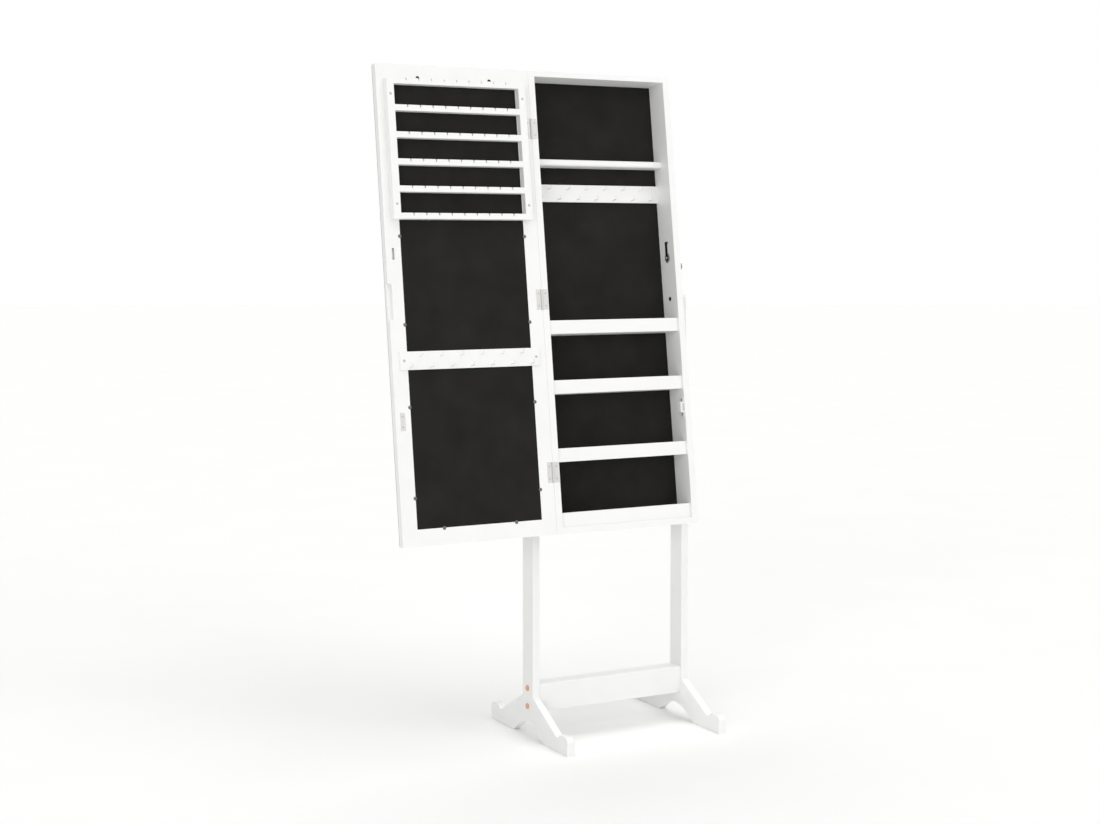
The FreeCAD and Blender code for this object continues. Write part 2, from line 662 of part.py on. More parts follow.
def make_shelves():
    """The upper shelf and the trays."""
    shelf = block(inner_left, inner_right, shelf_setback, felt_face, shelf_z, shelf_z + shelf_t)
    long_edge = (inner_right - inner_left) / 2
    nose = shelf_t * 0.3
    shelf = soften(shelf, nose, lambda box: box.XMax - box.XMin > long_edge
                   and is_at(shelf_setback, box.YMin, box.YMax))
    place("upper_shelf", shelf, hang)
    back_of_rail = rail_setback + rail_t
    for level, low in tray_levels.items():
        floor = block(inner_left, inner_right, back_of_rail, felt_face, low, low + tray_floor_t)
        place(level + "_tray_floor", floor, hang)
        make_rail(level + "_tray_rail", low, rail_h)
    make_rail("bottom_rail", bottom_t, bottom_rail_h)


def make_necklace_bar():
    """The hook bar on the lined back of the case."""
    face = felt_face - bar_t
    bar = block(inner_left, inner_right, face, felt_face, necklace_bar_z, necklace_bar_z + bar_h)
    hooks = hooks_on(necklace_bar_z, face, case_w / 2)
    place("necklace_bar", cut(bar, hooks), hang)
    place("necklace_hooks", hooks, hang)


# ---------------------------------------------------------------- door
def panel_screws():
    """Round-headed screws beside the felt panel, their heads over its edge."""
    left = window_left - panel_screw_out
    right = window_right + panel_screw_out
    spots = [(x, z) for z in panel_screw_levels for x in (left, right)]
    spots += [(door_mid + side * panel_screw_spread, z) for side in (-1, 1)
              for z in (window_low - panel_screw_out, window_high + panel_screw_out)]
    screws = []
    for x, z in spots:
        head = rod(panel_head_r, (x, -panel_head_t, z), (x, 0, z))
        head = soften(head, panel_head_t / 2, lambda box: is_at(-panel_head_t, box.YMin, box.YMax))
        screws.append(head.fuse(rod(screw_r, (x, 0, z), (x, mount_bite, z))).removeSplitter())
    return screws


def keeper_parts():
    """Strike plate of the lock, its two screws, and the pocket behind it."""
    low = keeper_z - keeper_half
    high = keeper_z + keeper_half
    half = keeper_w / 2
    slot_low = lock_z - keeper_slot_low
    slot_high = lock_z + keeper_slot_high
    recess = block(keeper_x - half, keeper_x + half, 0, keeper_t, low, high)
    slot = block(keeper_x - keeper_slot_w / 2, keeper_x + keeper_slot_w / 2, 0, keeper_t, slot_low, slot_high)
    pocket = block(keeper_x - pocket_w / 2, keeper_x + pocket_w / 2, 0, pocket_depth,
                   slot_low - pocket_margin, slot_high + pocket_margin)
    screws = [small_screw((keeper_x, 0, z), (0, 1, 0)) for z in (low + keeper_end / 2, high - keeper_end / 2)]
    return {"plate": recess.cut([slot] + screws), "recess": recess, "pocket": pocket, "screws": screws}


def catch_strike_parts():
    """Steel plate that the magnet holds, set flush in the stile."""
    low = strike_z - strike_h / 2
    high = strike_z + strike_h / 2
    recess = block(-strike_x - strike_w / 2, -strike_x + strike_w / 2, 0, strike_t, low, high)
    screws = [small_screw((-strike_x, 0, strike_z + side * strike_screw_z), (0, 1, 0)) for side in (-1, 1)]
    return {"plate": recess.cut(screws), "recess": recess, "screws": screws}


def make_rack():
    """Earring rack: two uprights and notched bars. Returns its screws."""
    left = rack_inset - case_w
    right = -rack_inset
    bar_left = left + rack_stile_w
    bar_right = right - rack_stile_w
    screws = []
    for x in (left + rack_stile_w / 2, right - rack_stile_w / 2):
        for z in (rack_low + rack_screw_bottom, rack_high - rack_screw_top):
            screws.append(mount_screw(x, z, rack_depth))
    place("rack_left_stile", cut(block(left, bar_left, -rack_depth, 0, rack_low, rack_high), screws), hang)
    place("rack_right_stile", cut(block(bar_right, right, -rack_depth, 0, rack_low, rack_high), screws), hang)
    for n in range(rack_bar_count):
        top = rack_high - n * rack_pitch
        bar = block(bar_left, bar_right, -rack_depth, 0, top - rack_bar_h, top)
        first = door_mid - (notch_count - 1) / 2 * notch_pitch
        slots = [block(x - notch_w / 2, x + notch_w / 2, -rack_depth, 0, top - notch_depth, top)
                 for x in (first + k * notch_pitch for k in range(notch_count))]
        place("rack_bar_%d" % (n + 1), cut(bar, slots), hang)
    place("rack_screws", screws, hang)
    return screws


def make_door_bar():
    """The hook bar on the door. Returns its screws."""
    inset = side_t + door_bar_room
    left = inset - case_w
    right = -inset
    middle_z = door_bar_z + bar_h / 2
    stile_x = rack_inset + rack_stile_w / 2
    screws = [mount_screw(x, middle_z, bar_t) for x in (stile_x - case_w, -stile_x)]
    bar = block(left, right, -bar_t, 0, door_bar_z, door_bar_z + bar_h)
    bar = soften(bar, edge_r / 2, lambda box: is_at(-bar_t, box.YMin, box.YMax))
    hooks = hooks_on(door_bar_z, -bar_t, door_mid)
    place("door_hook_bar", cut(bar, screws + hooks), hang)
    place("door_hooks", hooks, hang)
    place("door_bar_screws", screws, hang)
    return screws


def make_door(hinges):
    """Frame, mirror, felt panel and what is let into the stiles."""
    held = panel_screws()
    keeper = keeper_parts()
    strike = catch_strike_parts()
    through = make_rack() + make_door_bar() + held
    lip_left = window_left + lip_w
    lip_right = window_right - lip_w
    pull = block(-case_w, -case_w + pull_w, 0, pull_depth, pull_z, pull_z + pull_h)
    pull = soften(pull, pull_corner_r, lambda box: is_at(-case_w + pull_w, box.XMin, box.XMax)
                  and box.YMax - box.YMin > pull_depth / 2)

    lock_stile = block(-case_w, window_left, 0, frame_t, 0, case_h)
    lock_stile = lock_stile.fuse(block(window_left, lip_left, panel_seat, frame_t, 0, case_h))
    lock_cuts = through + [pull, keeper["recess"], keeper["pocket"], strike["recess"]]
    lock_cuts += keeper["screws"] + strike["screws"]
    place("door_lock_stile", cut(lock_stile.removeSplitter(), lock_cuts), hang)

    hinge_stile = block(window_right, door_edge, 0, frame_t, 0, case_h)
    hinge_stile = hinge_stile.fuse(block(lip_right, window_right, panel_seat, frame_t, 0, case_h))
    hinge_cuts = list(through)
    for hinge in hinges:
        hinge_cuts += [hinge["recess"], hinge["relief"]] + hinge["door_screws"]
    place("door_hinge_stile", cut(hinge_stile.removeSplitter(), hinge_cuts), hang)

    for name, low, high, lip_low, lip_high in (
            ("door_bottom_rail", 0, window_low, window_low, window_low + lip_w),
            ("door_top_rail", window_high, case_h, window_high - lip_w, window_high)):
        face = block(window_left, window_right, 0, panel_seat, low, high)
        core = block(lip_left, lip_right, panel_seat, frame_t, min(low, lip_low), max(high, lip_high))
        place(name, cut(face.fuse(core).removeSplitter(), held), hang)

    panel = block(window_left, window_right, panel_face, panel_seat, window_low, window_high)
    place("door_felt_panel", cut(panel, held), hang)
    place("panel_screws", held, hang)
    place("mirror", block(-case_w, door_edge, frame_t, door_t, 0, case_h), hang)
    place("lock_strike", keeper["plate"], hang)
    place("catch_strike", strike["plate"], hang)
    place("hinge_door_leaves", [hinge["door_leaf"] for hinge in hinges], hang)
    screws = keeper["screws"] + strike["screws"]
    for hinge in hinges:
        screws += hinge["door_screws"]
    place("door_screws", screws, hang)


# ---------------------------------------------------------------- the whole cabinet
make_legs()
make_stretcher()
make_pivots()
hinge_set = [hinge_parts(level) for level in hinge_levels]
lock_bores = make_lock()
make_key_bow()
catch_fixings = make_catch()
make_case(hinge_set, lock_bores, catch_fixings)
make_shelves()
make_necklace_bar()
make_door(hinge_set)
place("hinge_case_leaves", [hinge["case_leaf"] for hinge in hinge_set], hang)
place("hinge_pins", [hinge["pin"] for hinge in hinge_set], hang)
case_screws = list(catch_fixings)
for one_hinge in hinge_set:
    case_screws += one_hinge["case_screws"]
place("case_screws", case_screws, hang)

os.makedirs("parts", exist_ok=True)
for node_name, shape in nodes.items():
    shape.exportStep("parts/%s.step" % node_name)
    print("%-24s %3d solids  %10.0f mm3" % (node_name, len(shape.Solids), shape.Volume))
print(len(nodes), "nodes")
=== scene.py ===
# %% [markdown]
# # A jewelry cabinet with a mirror door
# The CAD model holds the boards, the joints and the hardware of the cabinet at their real sizes.
# This lesson dresses it: softer edges, real screws and hooks, finishes, light and a camera.
# Loading comes first, because every later step measures the frame instead of typing places again.

# %% Load the frame
import json
import math

import bmesh
import bpy
from mathutils import Matrix, Vector


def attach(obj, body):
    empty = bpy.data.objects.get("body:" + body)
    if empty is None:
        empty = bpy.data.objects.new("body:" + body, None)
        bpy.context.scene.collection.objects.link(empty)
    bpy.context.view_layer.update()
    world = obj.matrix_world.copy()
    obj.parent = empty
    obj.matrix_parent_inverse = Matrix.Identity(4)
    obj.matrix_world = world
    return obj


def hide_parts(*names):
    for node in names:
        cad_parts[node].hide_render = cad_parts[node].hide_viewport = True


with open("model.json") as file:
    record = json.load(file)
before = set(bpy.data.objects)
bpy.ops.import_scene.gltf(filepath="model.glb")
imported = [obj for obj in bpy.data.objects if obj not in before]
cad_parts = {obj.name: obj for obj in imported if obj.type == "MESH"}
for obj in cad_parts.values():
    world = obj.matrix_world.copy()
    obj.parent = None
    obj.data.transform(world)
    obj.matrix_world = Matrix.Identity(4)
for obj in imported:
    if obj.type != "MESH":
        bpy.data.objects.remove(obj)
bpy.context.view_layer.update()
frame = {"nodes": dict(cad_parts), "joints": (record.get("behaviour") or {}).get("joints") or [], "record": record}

MM = 0.001

# %% [markdown]
# ## The cabinet's own upright frame
# The case leans back, so a height on it isn't a height above the floor. A carpenter would lay the
# case flat on the bench and measure there. The door's hinge line gives the direction that is "up"
# for the case, and the lower front left corner of its left side is where measuring starts.

# %% A matrix from the leaning case to the world
hinge = next(joint for joint in frame["joints"] if joint["name"] == "door_swing")
up = Vector(hinge["axis"]).normalized()
right = Vector((1, 0, 0))
back = up.cross(right)
lean = Matrix((right, back, up)).transposed().to_4x4()
STAND = Matrix.Identity(4)


def own_points(node, to_part):
    """The vertices of a CAD node, seen in a working frame."""
    to_own = to_part.inverted()
    return [to_own @ vertex.co for vertex in frame["nodes"][node].data.vertices]


def corners(points):
    """Lowest and highest corner of some points."""
    low = Vector([min(point[axis] for point in points) for axis in range(3)])
    high = Vector([max(point[axis] for point in points) for axis in range(3)])
    return low, high


CASE = lean @ Matrix.Translation(corners(own_points("left_side", lean))[0])
print("lean in degrees:", round(math.degrees(math.acos(up.z)), 2))


def own_box(node, to_part=CASE):
    """Lowest and highest corner of a CAD node in the case's frame."""
    return corners(own_points(node, to_part))


case_high = own_box("left_side")[1].z
case_wide = own_box("right_side")[1].x
print("case in mm:", round(case_wide / MM, 1), "wide,", round(case_high / MM, 1), "high")

# %% [markdown]
# ## Finding the single screws and hooks
# One CAD node can hold many equal solids, such as all hooks of a bar. A new, finer piece has to
# stand where each of them stands. So the node's mesh is welded and split into its loose parts,
# and each part tells its own box.

# %% Loose parts of a node
WELD = 0.001 * MM


def loose_parts(node, to_part=CASE):
    """The box of each solid in a CAD node, in a working frame."""
    mesh = bmesh.new()
    mesh.from_mesh(frame["nodes"][node].data)
    bmesh.ops.transform(mesh, matrix=to_part.inverted(), verts=mesh.verts)
    bmesh.ops.remove_doubles(mesh, verts=mesh.verts, dist=WELD)
    left = set(mesh.verts)
    boxes = []
    while left:
        found = {left.pop()}
        waiting = list(found)
        while waiting:
            vertex = waiting.pop()
            new = {edge.other_vert(vertex) for edge in vertex.link_edges} & left
            left -= new
            found |= new
            waiting += new
        boxes.append(corners([vertex.co for vertex in found]))
    mesh.free()
    return sorted(boxes, key=lambda box: (round(box[0].z, 4), round(box[0].x, 4), round(box[0].y, 4)))


print("hooks on the case's bar:", len(loose_parts("necklace_hooks")))

# %% [markdown]
# ## Colours and shader nodes
# Paint charts give colours as hex values made for screens. A renderer counts light, so one
# function turns them to linear values. A second one adds any shader node with its settings and
# its links, which keeps each recipe below a short list of what the surface is made of.


# %% Two helpers for materials
def linear(hex_colour):
    """An sRGB hex colour as linear red, green, blue and alpha."""
    parts = [int(hex_colour[start:start + 2], 16) / 255 for start in (1, 3, 5)]
    curve = [part / 12.92 if part <= 0.04045 else ((part + 0.055) / 1.055) ** 2.4 for part in parts]
    return (*curve, 1.0)


def add(tree, kind, settings, links):
    """A shader node: settings fill its sockets or options, links are {socket: (node, its output)}."""
    node = tree.nodes.new(kind)
    sockets = {socket.identifier: socket for socket in node.inputs}
    for name, value in settings.items():
        if name in sockets:
            sockets[name].default_value = value
        else:
            setattr(node, name, value)
    for name, (source, output) in links.items():
        outlet = next(socket for socket in source.outputs if socket.identifier == output)
        tree.links.new(outlet, sockets[name])
    return node


print("white paper in linear light:", [round(part, 3) for part in linear("#F4F4F2")[:3]])

# %% [markdown]
# ## One recipe for a finish
# Paint, plating, plastic and board differ in their numbers, not in how they are put together. A
# fine grain of a real size in millimetres moves the gloss and the height of the surface, and a
# slow cloud moves the colour between two shades, so that no surface is one flat value. Patterns
# use the object's own coordinates, and so they stay on the piece when it moves.


# %% The recipe
def per_metre(size_mm):
    """Scale of a noise whose blobs are about as wide as a real size in millimetres."""
    return 1 / (size_mm * MM)


def finish(name, shades, gloss, grain_mm, height_mm, cloud_mm, fixed, stretch=(1.0, 1.0, 1.0)):
    """A material: two shades, a range of roughness, a grain and a cloud of real sizes."""
    material = bpy.data.materials.new(name)
    material.use_nodes = True
    tree = material.node_tree
    tree.nodes.clear()
    place = add(tree, "ShaderNodeTexCoord", {}, {})
    along = add(tree, "ShaderNodeMapping", {"Scale": stretch}, {"Vector": (place, "Object")})
    grain = add(tree, "ShaderNodeTexNoise", {"Scale": per_metre(grain_mm), "Detail": 3.0},
                {"Vector": (along, "Vector")})
    cloud = add(tree, "ShaderNodeTexNoise", {"Scale": per_metre(cloud_mm), "Detail": 2.0},
                {"Vector": (along, "Vector")})
    shade = add(tree, "ShaderNodeMix",
                {"data_type": "RGBA", "A_Color": linear(shades[0]), "B_Color": linear(shades[1])},
                {"Factor_Float": (cloud, "Fac")})
    rough = add(tree, "ShaderNodeMapRange", {"To Min": gloss[0], "To Max": gloss[1]},
                {"Value": (grain, "Fac")})
    bump = add(tree, "ShaderNodeBump", {"Distance": height_mm * MM}, {"Height": (grain, "Fac")})
    shader = add(tree, "ShaderNodeBsdfPrincipled", fixed,
                 {"Base Color": (shade, "Result_Color"), "Roughness": (rough, "Result"),
                  "Normal": (bump, "Normal")})
    add(tree, "ShaderNodeOutputMaterial", {}, {"Surface": (shader, "BSDF")})
    return material


# %% [markdown]
# ## White lacquer
# The boards are medium-density fibreboard, sanded and sprayed with a satin polyurethane lacquer.
# Sprayed paint levels out but keeps a faint orange peel of waves two to three millimetres wide
# and a few hundredths high. It gives long soft highlights instead of sharp ones. The white is
# nearly neutral, and a roughness just under 0.4 is typical for satin furniture paint.

# %% Sprayed satin lacquer
sprayed_lacquer = finish("sprayed_satin_lacquer", ("#F0F0EF", "#F6F6F5"), gloss=(0.33, 0.41),
                         grain_mm=2.5, height_mm=0.02, cloud_mm=60.0, fixed={"IOR": 1.5})
print(sprayed_lacquer.name, "has", len(sprayed_lacquer.node_tree.nodes), "nodes")

# %% [markdown]
# ## White hardboard
# The back is a thin pressed-fibre board with a rolled white coat. The press leaves a fine, dull
# pebble of about a millimetre, and the coat is flatter than the lacquer.

# %% Roller-coated hardboard
coated_hardboard = finish("roller_coated_hardboard", ("#E6E6E2", "#EFEFEB"), gloss=(0.55, 0.7),
                          grain_mm=1.2, height_mm=0.05, cloud_mm=90.0, fixed={"IOR": 1.48})
print("back board:", coated_hardboard.name)

# %% [markdown]
# ## Mirror glass
# A mirror is float glass with a silver coat behind it. Seen from the front, the silver reflects
# through four millimetres of clear glass, so a smooth metal with a faint cool tint is what the
# eye gets, with a trace of wiping smears. The ground edge isn't silvered: it shows the
# green-grey of the glass itself, roughened by a grit too fine to see and drawn 0.6 mm wide. The
# silver is sealed from behind with grey paint, which is all that the hidden side shows.

# %% Silvered glass, its ground edge and its backing paint
silvered_glass = finish("silvered_float_glass", ("#E6ECEA", "#EBF0EE"), gloss=(0.01, 0.035),
                        grain_mm=40.0, height_mm=0.0, cloud_mm=200.0, fixed={"Metallic": 1.0})
ground_edge = finish("ground_glass_edge", ("#B3BFB9", "#CDD7D2"), gloss=(0.25, 0.4),
                     grain_mm=0.6, height_mm=0.01, cloud_mm=8.0, fixed={"IOR": 1.52})
backing_paint = finish("mirror_backing_paint", ("#6F7478", "#7B8084"), gloss=(0.5, 0.6),
                       grain_mm=1.0, height_mm=0.02, cloud_mm=50.0, fixed={"IOR": 1.5})
print("mirror, from front to back:", silvered_glass.name, ground_edge.name, backing_paint.name)

# %% [markdown]
# ## Moulded plastics
# Hooks and catch are injection moulded. ABS comes out of a polished mould with a glossy skin,
# so the hooks shine; the catch is acetal from a lightly eroded mould, which is duller. The
# washers at the pivots are cut from natural nylon sheet, which is a little yellow.

# %% ABS, acetal and nylon
glossy_abs = finish("moulded_glossy_abs", ("#EAEAE8", "#F1F1EF"), gloss=(0.18, 0.26),
                    grain_mm=3.0, height_mm=0.004, cloud_mm=12.0, fixed={"IOR": 1.53})
matt_acetal = finish("moulded_matt_acetal", ("#E2E2DE", "#ECECE8"), gloss=(0.4, 0.5),
                     grain_mm=0.8, height_mm=0.01, cloud_mm=15.0, fixed={"IOR": 1.48})
cut_nylon = finish("cut_natural_nylon", ("#D9D8CE", "#E4E3DA"), gloss=(0.4, 0.55),
                   grain_mm=0.9, height_mm=0.01, cloud_mm=10.0, fixed={"IOR": 1.53})
print("plastics:", glossy_abs.name, matt_acetal.name, cut_nylon.name)

# %% [markdown]
# ## Plated steel
# All small metal is steel with a thin coat. Copper gives the stretcher's bolts a warm pink, and a
# dark brown copper inside their sockets is a painted shade for the recess. Zinc makes the wood
# screws a light grey, and satin nickel gives hinges and lock a warmer one that holds no sharp
# image. The key is nickel too, in a darker shade. Grey phosphate is dull, as on most of the
# retaining screws, and black oxide on cam and pivots is a thin skin that lets some gleam through.
# A coat follows the drawn or tumbled steel below it, so fine scratches of a few tenths of a
# millimetre stay and break up the highlight. They run along the piece, and so the noise is
# stretched nearly seven times in height. Metals keep the default IOR.

# %% Six coats on steel and a painted shade for sockets
SCRATCHED = (1.0, 1.0, 0.15)
METAL = {"Metallic": 1.0}
copper_plate = finish("copper_plated_steel", ("#CF9A78", "#E2B798"), gloss=(0.3, 0.42),
                      grain_mm=0.5, height_mm=0.004, cloud_mm=4.0, fixed=METAL, stretch=SCRATCHED)
# Dark brown copper for the bolt sockets: a painted shade for the recess, not a colour of the plate.
socket_shade_copper = finish("copper_painted_socket_shade", ("#3A2418", "#4E3122"), gloss=(0.5, 0.65),
                     grain_mm=0.4, height_mm=0.01, cloud_mm=2.0, fixed=METAL)
zinc_plate = finish("zinc_plated_steel", ("#AFB0AF", "#C5C5C3"), gloss=(0.35, 0.48),
                    grain_mm=0.4, height_mm=0.004, cloud_mm=3.0, fixed=METAL, stretch=SCRATCHED)
nickel_plate = finish("satin_nickel_plated_steel", ("#CAC9C7", "#D2D1CF"), gloss=(0.52, 0.64),
                      grain_mm=0.4, height_mm=0.004, cloud_mm=8.0, fixed=METAL, stretch=SCRATCHED)
darker_nickel = finish("darker_nickel_plated_steel", ("#7E7D7A", "#979592"), gloss=(0.35, 0.5),
                        grain_mm=0.4, height_mm=0.004, cloud_mm=5.0, fixed=METAL)
grey_phosphate = finish("zinc_phosphated_steel", ("#6A6A68", "#868684"), gloss=(0.45, 0.6),
                        grain_mm=0.3, height_mm=0.004, cloud_mm=2.0, fixed={"Metallic": 0.8})
black_oxide = finish("black_oxide_steel", ("#141414", "#242424"), gloss=(0.3, 0.45),
                     grain_mm=0.5, height_mm=0.004, cloud_mm=5.0, fixed={"Metallic": 0.6})
print("coats on steel:", copper_plate.name, zinc_plate.name, nickel_plate.name, black_oxide.name)

# %% [markdown]
# ## Hidden materials
# A reader who takes the model apart finds a grey ferrite magnet in the catch and beech dowels in
# the corners. Ferrite is pressed powder, sintered hard and dull. Beech has short dark flecks
# along its grain, about a millimetre wide and eight long.

# %% Ferrite and beech
sintered_ferrite = finish("sintered_ferrite", ("#3A3A3B", "#515153"), gloss=(0.5, 0.65),
                          grain_mm=0.5, height_mm=0.01, cloud_mm=2.0, fixed={"Metallic": 0.2})
bare_beech = finish("bare_beech", ("#B98B5E", "#D9B58B"), gloss=(0.55, 0.7),
                    grain_mm=0.5, height_mm=0.03, cloud_mm=1.0, fixed={"IOR": 1.45},
                    stretch=(0.12, 1.0, 1.0))
print("hidden:", sintered_ferrite.name, bare_beech.name)

# %% [markdown]
# ## Black velvet
# The lining is flocked felt: short nylon fibres glued upright on a sheet. It needs a recipe of
# its own. Brushing lays the pile in different directions, so large soft clouds are a little
# lighter than the rest, and the ends of the fibres catch light at a grazing angle. Sheen gives
# that rim. Real fibres would vanish at this distance, so the pile is drawn 0.8 mm wide.

# %% Flocked velvet
PILE_MM = 0.8
BRUSHED_MM = 75.0
PILE_SHARE = 0.35
PILE_HEIGHT_MM = 0.15


def flocked_velvet():
    """Black pile with brushed clouds and a soft rim of light."""
    material = bpy.data.materials.new("flocked_nylon_velvet")
    material.use_nodes = True
    tree = material.node_tree
    tree.nodes.clear()
    place = add(tree, "ShaderNodeTexCoord", {}, {})
    cloud = add(tree, "ShaderNodeTexNoise", {"Scale": per_metre(BRUSHED_MM), "Detail": 3.0},
                {"Vector": (place, "Object")})
    pile = add(tree, "ShaderNodeTexNoise", {"Scale": per_metre(PILE_MM), "Detail": 3.0},
               {"Vector": (place, "Object")})
    both = add(tree, "ShaderNodeMath", {"operation": "MULTIPLY_ADD", "Value_001": PILE_SHARE},
               {"Value": (pile, "Fac"), "Value_002": (cloud, "Fac")})
    shade = add(tree, "ShaderNodeMix",
                {"data_type": "RGBA", "A_Color": linear("#181716"), "B_Color": linear("#2A2928")},
                {"Factor_Float": (both, "Value")})
    bump = add(tree, "ShaderNodeBump", {"Distance": PILE_HEIGHT_MM * MM}, {"Height": (pile, "Fac")})
    fabric = {"Roughness": 1.0, "IOR": 1.4, "Specular IOR Level": 0.15, "Sheen Weight": 0.12,
              "Sheen Roughness": 0.45, "Sheen Tint": linear("#8C8984")}
    shader = add(tree, "ShaderNodeBsdfPrincipled", fabric,
                 {"Base Color": (shade, "Result_Color"), "Normal": (bump, "Normal")})
    add(tree, "ShaderNodeOutputMaterial", {}, {"Surface": (shader, "BSDF")})
    return material


velvet = flocked_velvet()
print("finishes so far:", len(bpy.data.materials))

# %% [markdown]
# ## Finishes for the CAD's own pieces
# The record names a material slot for every CAD piece. Those that stay as they are get their
# finish here. Only the finish changes, never the mesh.

# %% One finish per material slot
FINISHES = {
    "white_lacquer": sprayed_lacquer,
    "back_hardboard": coated_hardboard,
    "black_velvet": velvet,
    "mirror_glass": silvered_glass,
    "hook_plastic": glossy_abs,
    "copper_bolts": copper_plate,
    "zinc_steel": zinc_plate,
    "nickel_steel": nickel_plate,
    "black_steel": black_oxide,
    "catch_plastic": matt_acetal,
    "ferrite": sintered_ferrite,
    "nylon": cut_nylon,
    "beech": bare_beech,
}
slot_of = {part["node"]: part["material_slot"] for part in frame["record"]["subparts"]}
body_of = {node: body for body, members in frame["record"]["behaviour"]["bodies"].items() for node in members}
for node, thing in frame["nodes"].items():
    thing.data.materials.clear()
    thing.data.materials.append(FINISHES[slot_of[node]])
print("finished", len(slot_of), "CAD pieces")

# %% [markdown]
# ## Keeping a new piece
# Every new mesh rides on the CAD body that it belongs to and, where it stands for CAD nodes,
# replaces them. Faces are shaded smooth except at edges sharper than
# 35 degrees, and weighted normals keep large flat faces flat beside their rounded edges.

# %% A helper that turns a bmesh into a piece
SHARP = math.radians(35)


def keep(mesh, name, materials, *replaced, body=None, slot=None):
    """Makes a piece of a bmesh. It takes its body from the first node it replaces, or is told. The slot argument
    is not used.
    """
    data = bpy.data.meshes.new(name)
    bmesh.ops.recalc_face_normals(mesh, faces=mesh.faces)
    mesh.to_mesh(data)
    mesh.free()
    data.shade_smooth()
    data.set_sharp_from_angle(angle=SHARP)
    piece = bpy.data.objects.new(name, data)
    bpy.context.scene.collection.objects.link(piece)
    for material in materials:
        data.materials.append(material)
    flat = piece.modifiers.new("flat_faces", "WEIGHTED_NORMAL")
    flat.keep_sharp = True
    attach(piece, body or body_of[replaced[0]])
    if replaced:
        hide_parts(*replaced)
    return piece


def stand_in(mesh, node):
    """Keeps a bmesh in place of one CAD node, under the node's own name with dashes."""
    return keep(mesh, node.replace("_", "-") + "-piece", [FINISHES[slot_of[node]]], node)


# %% [markdown]
# ## Softer edges for the boards
# A sprayed board never has a knife edge: the sander breaks it by about half a millimetre so that
# the paint can hold on. The CAD boards are sharp. Each new board starts as a copy of the CAD
# node's shape, is welded, gets its flat triangles joined, and then only its sharp edges are
# bevelled. That keeps every recess, hole and slot where the CAD has it.

# %% Boards with broken edges
FLAT = math.radians(1.0)
CORNER = math.radians(50)


def copied(node):
    """A CAD node's shape as a bmesh, welded, with its flat faces whole again."""
    mesh = bmesh.new()
    mesh.from_mesh(frame["nodes"][node].data)
    bmesh.ops.remove_doubles(mesh, verts=mesh.verts, dist=WELD)
    bmesh.ops.dissolve_limit(mesh, angle_limit=FLAT, verts=mesh.verts, edges=mesh.edges)
    return mesh


def softened(mesh, width_mm, segments=2):
    """Rounds the sharp edges of a bmesh by a width in millimetres."""
    sharp = [edge for edge in mesh.edges if edge.is_manifold and edge.calc_face_angle(0) > CORNER]
    bmesh.ops.bevel(mesh, geom=sharp, offset=width_mm * MM, segments=segments, profile=0.5,
                    affect="EDGES", clamp_overlap=True)
    return mesh


BOARD_EDGE = 0.6
BAR_EDGE = 0.4
BOARDS = ["left_side", "right_side", "top_panel", "bottom_panel", "upper_shelf",
          "upper_tray_floor", "middle_tray_floor", "lower_tray_floor",
          "upper_tray_rail", "middle_tray_rail", "lower_tray_rail", "bottom_rail",
          "necklace_bar", "door_hook_bar", "rack_left_stile", "rack_right_stile"]
RACK_BARS = sorted(node for node in frame["nodes"] if node.startswith("rack_bar_"))
for node in BOARDS:
    stand_in(softened(copied(node), BOARD_EDGE), node)
for node in RACK_BARS:
    stand_in(softened(copied(node), BAR_EDGE), node)
print("softened", len(BOARDS), "boards and", len(RACK_BARS), "rack bars")

# %% [markdown]
# ## The legs and the stretcher
# These boards are routed: their edges are already round in the CAD, and only the bolt holes are
# sharp. They are copied to get smooth shading over the curves of the feet, with the holes broken
# by a touch of the countersink.

# %% Routed boards
HOLE_EDGE = 0.3
ROUTED = ["left_leg", "right_leg", "stretcher"]
for node in ROUTED:
    stand_in(softened(copied(node), HOLE_EDGE), node)
print("routed boards:", len(ROUTED))

# %% [markdown]
# ## Joining two shapes
# Some forms come from others by adding or taking away: a painted frame whose joints are filled,
# or the recess in a screw's head. Blender's exact solver does both. It works on objects, so two
# short-lived ones are made, and the result is read back as a bmesh.


# %% A helper for boolean work
def combined(base, tool, operation):
    """One bmesh from two, by UNION or DIFFERENCE. Both are used up."""
    things = []
    for mesh in (base, tool):
        data = bpy.data.meshes.new("workpiece")
        mesh.to_mesh(data)
        mesh.free()
        things.append(bpy.data.objects.new("workpiece", data))
        bpy.context.scene.collection.objects.link(things[-1])
    step = things[0].modifiers.new("step", "BOOLEAN")
    step.operation = operation
    step.solver = "EXACT"
    step.object = things[1]
    result = bmesh.new()
    result.from_object(things[0], bpy.context.evaluated_depsgraph_get())
    for thing in things:
        bpy.data.meshes.remove(thing.data)
    return result


# %% [markdown]
# ## The door's frame
# Four boards make the frame, but no joint shows in its corners: they are glued, filled and sanded
# before the lacquer goes on. So the four CAD boards become one ring, and the bevel runs round
# it without a break.

# %% One seamless frame
ring = copied("door_lock_stile")
for node in ("door_hinge_stile", "door_bottom_rail", "door_top_rail"):
    ring = combined(ring, copied(node), "UNION")
bmesh.ops.remove_doubles(ring, verts=ring.verts, dist=WELD)
bmesh.ops.dissolve_limit(ring, angle_limit=FLAT, verts=ring.verts, edges=ring.edges)
open_edges = [edge for edge in ring.edges if not edge.is_manifold]
print("door frame:", len(ring.faces), "faces,", len(open_edges), "open edges")
keep(softened(ring, BOARD_EDGE), "door-frame", [sprayed_lacquer],
     "door_lock_stile", "door_hinge_stile", "door_bottom_rail", "door_top_rail")

# %% [markdown]
# ## The velvet panels
# Flocked sheet is glued over a thin board, and the pile rounds off its edges. A wider bevel with
# more steps gives that soft border next to the crisp lacquer.

